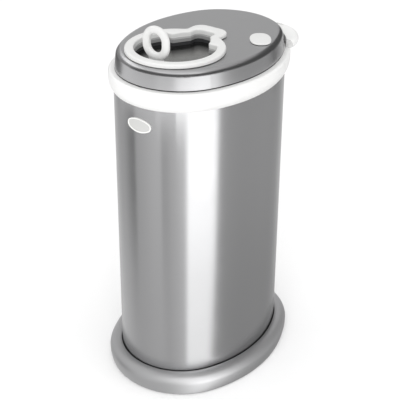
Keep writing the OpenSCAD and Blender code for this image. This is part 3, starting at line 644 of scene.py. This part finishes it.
def bentRoundFront(points):
    # the oval's length becomes arc length round the body's front end, its width the height, and its
    # thickness the distance out. This swaps its sides, so its faces have to be turned over
    endC, endR = ovalArcs(bodyOval)[:2]
    a = points[:, 1] / endR
    r = endR + points[:, 2]
    return np.stack([r * np.sin(a), -endC - r * np.cos(a), badge["z"] + points[:, 0]], axis=-1)


def plateRings():
    # the oval drawn in by the rim's width, softened at the edge, then the same ring shrunk to the middle
    b = badge
    wall = [(-b["rim"], 0.0), (-b["rim"], b["plateOut"] - b["plateEdgeOut"]),
            (-b["rim"] - b["plateEdge"], b["plateOut"])]
    rings = [ovalRun(b, grow, b["plateSteps"])[0] for grow, _ in wall]
    heights = [z for _, z in wall]
    last = rings[-1]
    rings += [last * share for share in b["plateShares"]]
    heights += [b["plateOut"] for _ in b["plateShares"]]
    return stacked(rings, heights)


def makeBadge():
    # the plate is lofted, and the rim is a small rounded strip carried round the same oval
    b = badge
    points, faces = loft(plateRings())
    makePiece("badgePlate", bentRoundFront(points), flipped(faces), "bin", "badge_plate", sharp=60)
    section = roundedOutline([(0, 0, b["rimFootRound"]), (0, b["rimOut"], b["rimTopRound"]),
                              (-b["rim"], b["rimOut"], b["rimTopRound"]), (-b["rim"], 0, b["rimFootRound"])])
    points, faces, _ = carryRound(section, b["rimSteps"], b)
    makePiece("badgeRim", bentRoundFront(points.reshape(-1, 3)), flipped(faces), "bin", "badge_bezel",
              sharp=60)


makeBody()
makeFoot()
makeOpeningFrame()
makeHandle()
makeButton()
makeBadge()
print("new pieces made")


# Studio: what the steel mirrors, a white floor and one soft lamp over the camera's shoulder

# brightness by compass angle round the bin, counted from the front towards the lock's side
mirroredRings = dict(
    # what the upright walls mirror
    low=[(-180, 0.5), (-170, 0.6), (-157, 0.75), (-125, 0.78), (-107, 0.64), (-89, 0.56), (-76, 0.53),
         (-68, 0.42), (-58, 0.28), (-50, 0.24), (-46, 0.58), (-27, 0.68), (-13, 0.78), (1, 0.8), (4, 0.56),
         (12, 0.58), (18, 0.67), (30, 0.8), (41, 0.98), (46, 1.5), (49, 2.3), (92, 2.3), (96, 0.66),
         (104, 0.55), (120, 0.51), (150, 0.5), (166, 0.46), (180, 0.46)],
    # what they mirror near the floor, where the dark stripe has gone and the band is softer
    deep=[(-180, 0.36), (-125, 0.72), (-107, 0.75), (-76, 0.7), (-50, 0.6), (-27, 0.64), (-13, 0.66),
          (1, 0.68), (12, 0.63), (30, 0.72), (41, 0.82), (46, 1.1), (50, 1.5), (93, 1.5), (96, 0.52),
          (104, 0.44), (120, 0.41), (150, 0.4), (166, 0.37), (180, 0.36)],
    # above the horizon, for the foot's round top and the lid
    high=[(-180, 0.58), (-140, 0.58), (-100, 0.62), (-60, 0.62), (-30, 0.7), (0, 0.78), (20, 1.1),
          (44, 1.6), (52, 1.8), (85, 1.8), (96, 0.8), (104, 0.5), (140, 0.4), (160, 0.35), (180, 0.4)],
)
# between which sines of the elevation one ring gives way to the next, how bright it is overhead, and how
# far the ramps are dimmed, which the background makes good
sky = dict(deepToLow=(-0.57, -0.44), lowToHigh=(-0.12, 0.12), highToZenith=(0.75, 1.0), zenith=0.95,
           dimmedBy=2.0)


def compassRamp(tree, ring, turn):
    # a ring as a colour ramp: a stop's place is its share of the whole turn, its grey the dimmed brightness
    node = put(tree, "ShaderNodeValToRGB", links={"Fac": turn})
    points = node.color_ramp.elements
    while len(points) < len(ring):
        points.new(0.5)
    for point, (compass, brightness) in zip(points, ring):
        grey = brightness / sky["dimmedBy"]
        point.position = (compass + 180) / 360
        point.color = (grey, grey, grey, 1)
    return node.outputs["Color"]


def makeWorld():
    # the compass angle is the arctangent of x over minus y, and the elevation's sine is z. The shine sees
    # the rings, and all else sees plain white
    world = bpy.data.worlds.new("studio")
    bpy.context.scene.world = world
    world.use_nodes = True
    tree = world.node_tree
    tree.nodes.clear()
    axes = put(tree, "ShaderNodeSeparateXYZ",
               links={0: put(tree, "ShaderNodeTexCoord").outputs["Generated"]})
    front = put(tree, "ShaderNodeMath", {"operation": "MULTIPLY", 1: -1.0}, {0: axes.outputs["Y"]})
    compass = put(tree, "ShaderNodeMath", {"operation": "ARCTAN2"},
                  {0: axes.outputs["X"], 1: front.outputs[0]})
    turn = put(tree, "ShaderNodeMapRange", {"From Min": -math.pi, "From Max": math.pi},
               {"Value": compass.outputs[0]})
    low, deep, high = (compassRamp(tree, mirroredRings[name], turn.outputs["Result"])
                       for name in ("low", "deep", "high"))
    grey = sky["zenith"] / sky["dimmedBy"]
    share = {}
    for change in ("deepToLow", "lowToHigh", "highToZenith"):
        start, end = sky[change]
        share[change] = put(tree, "ShaderNodeMapRange", {"From Min": start, "From Max": end},
                            {"Value": axes.outputs["Z"]}).outputs["Result"]
    below = put(tree, "ShaderNodeMix", {"data_type": "RGBA"},
                {"Factor": share["deepToLow"], colourA: deep, colourB: low})
    above = put(tree, "ShaderNodeMix", {"data_type": "RGBA", colourB: (grey, grey, grey, 1)},
                {"Factor": share["highToZenith"], colourA: high})
    seen = put(tree, "ShaderNodeMix", {"data_type": "RGBA"},
               {"Factor": share["lowToHigh"], colourA: below.outputs[mixedColour],
                colourB: above.outputs[mixedColour]})
    mirrored = put(tree, "ShaderNodeBackground", {"Strength": sky["dimmedBy"]},
                   {"Color": seen.outputs[mixedColour]})
    white = put(tree, "ShaderNodeBackground", {"Color": (1, 1, 1, 1), "Strength": 1.0})
    ray = put(tree, "ShaderNodeLightPath")
    mixed = put(tree, "ShaderNodeMixShader",
                links={0: ray.outputs["Is Glossy Ray"], 1: white.outputs[0], 2: mirrored.outputs[0]})
    put(tree, "ShaderNodeOutputWorld", links={"Surface": mixed.outputs[0]})


# strips hung round the bin for the lid's edge to mirror: compass from and to, radius, heights, brightness
strips = {
    "darkFlag": dict(compass=(-40, 186), radius=420, heights=(530, 900), light=0.08),
    "lidLeft": dict(compass=(-66, 0), radius=430, heights=(400, 556), light=1.0),
    "lidFront": dict(compass=(0, 26), radius=430, heights=(400, 556), light=1.25),
    "lidCard": dict(compass=(26, 50), radius=430, heights=(400, 556), light=2.2),
    "rearFlag": dict(compass=(147, 157), radius=425, heights=(400, 700), light=0.12),
    "leftFlag": dict(compass=(-112, -66), radius=430, heights=(400, 556), light=0.12),
    "leftCard": dict(compass=(-112, -24), radius=430, heights=(780, 1000), light=1.8),
    "leftShade": dict(compass=(-112, -24), radius=440, heights=(570, 790), light=0.3),
    "frontCard": dict(compass=(-24, 40), radius=430, heights=(900, 1250), light=1.5),
}
stripSteps = 40


def hangStrips():
    # each strip is an arc of a cylinder: radius times (sine, minus cosine), low and high. Only the shine
    # sees it
    for name, strip in strips.items():
        a = np.radians(np.linspace(*strip["compass"], stripSteps))
        arc = np.stack([np.sin(a), -np.cos(a)], axis=-1) * strip["radius"]
        points = stacked([arc, arc], strip["heights"]).reshape(-1, 3)
        mesh = bpy.data.meshes.new(name)
        mesh.from_pydata((points * mm).tolist(), [], gridFaces(2, stripSteps, False, False))
        material, tree = newMaterial(name)
        glow = put(tree, "ShaderNodeEmission", {"Strength": strip["light"]})
        put(tree, "ShaderNodeOutputMaterial", links={"Surface": glow.outputs[0]})
        mesh.materials.append(material)
        card = bpy.data.objects.new(name, mesh)
        bpy.context.scene.collection.objects.link(card)
        card.visible_camera = card.visible_diffuse = card.visible_shadow = card.visible_transmission = False


# the floor and the lamp, in metres and watts
studio = dict(floorHalf=6.0, floorTone="FFFFFF", floorRoughness=0.9,
              lampSize=1.6, lampPower=26.0, lampPlace=(1.2, -2.0, 2.4), lampAim=(0, 0, 0.3))


def makeFloor():
    # painted board: white and fully dull, a square about the bin
    material, tree = newMaterial("white studio floor")
    finishMaterial(tree, {"Base Color": linear(studio["floorTone"]), "Roughness": studio["floorRoughness"],
                          "Specular IOR Level": 0.0}, {})
    half = studio["floorHalf"]
    mesh = bpy.data.meshes.new("floor")
    corners = [(-half, -half, 0), (half, -half, 0), (half, half, 0), (-half, half, 0)]
    mesh.from_pydata(corners, [], [(0, 1, 2, 3)])
    floor = bpy.data.objects.new("studioFloor", mesh)
    bpy.context.scene.collection.objects.link(floor)
    floor.data.materials.append(material)
    floor.visible_glossy = False


def makeLamp():
    # a square lamp that faces its aim: tipped by the angle from straight down, then turned to it
    data = bpy.data.lights.new("softLamp", "AREA")
    data.size = studio["lampSize"]
    data.energy = studio["lampPower"]
    lamp = bpy.data.objects.new("softLamp", data)
    bpy.context.scene.collection.objects.link(lamp)
    lamp.location = studio["lampPlace"]
    aim = np.array(studio["lampPlace"]) - studio["lampAim"]
    lamp.rotation_euler = (math.atan2(math.hypot(aim[0], aim[1]), aim[2]), 0, math.atan2(aim[0], -aim[1]))
    lamp.visible_glossy = False


# the camera as it was fitted to the photograph, in millimetres and degrees
camera = dict(azimuth=36.0, elevation=29.167, roll=0.35, distance=1773.4, lens=96.125, sensor=36,
              aim=(-0.52, -2.02), aimHeight=282.0)


def makeCamera():
    # the camera looks back along its own +Z: right, up and back are the columns of its turn
    az, el, roll = (math.radians(camera[k]) for k in ("azimuth", "elevation", "roll"))
    back = np.array([math.cos(el) * math.sin(az), -math.cos(el) * math.cos(az), math.sin(el)])
    level = np.array([math.cos(az), math.sin(az), 0])
    rise = np.cross(back, level)
    right = math.cos(roll) * level + math.sin(roll) * rise
    up = np.cross(back, right)
    aim = np.array([0, 0, camera["aimHeight"]]) + camera["aim"][0] * right + camera["aim"][1] * up
    data = bpy.data.cameras.new("camera")
    data.lens = camera["lens"]
    data.sensor_width = camera["sensor"]
    shot = bpy.data.objects.new("camera", data)
    bpy.context.scene.collection.objects.link(shot)
    turn = np.eye(4)
    turn[:3, :3] = np.stack([right, up, back], axis=1)
    turn[:3, 3] = (aim + camera["distance"] * back) * mm
    shot.matrix_world = Matrix(turn.tolist())
    bpy.context.scene.camera = shot


makeWorld()
hangStrips()
makeFloor()
makeLamp()
makeCamera()
bpy.context.scene.view_settings.view_transform = "Standard"
print("studio ready")
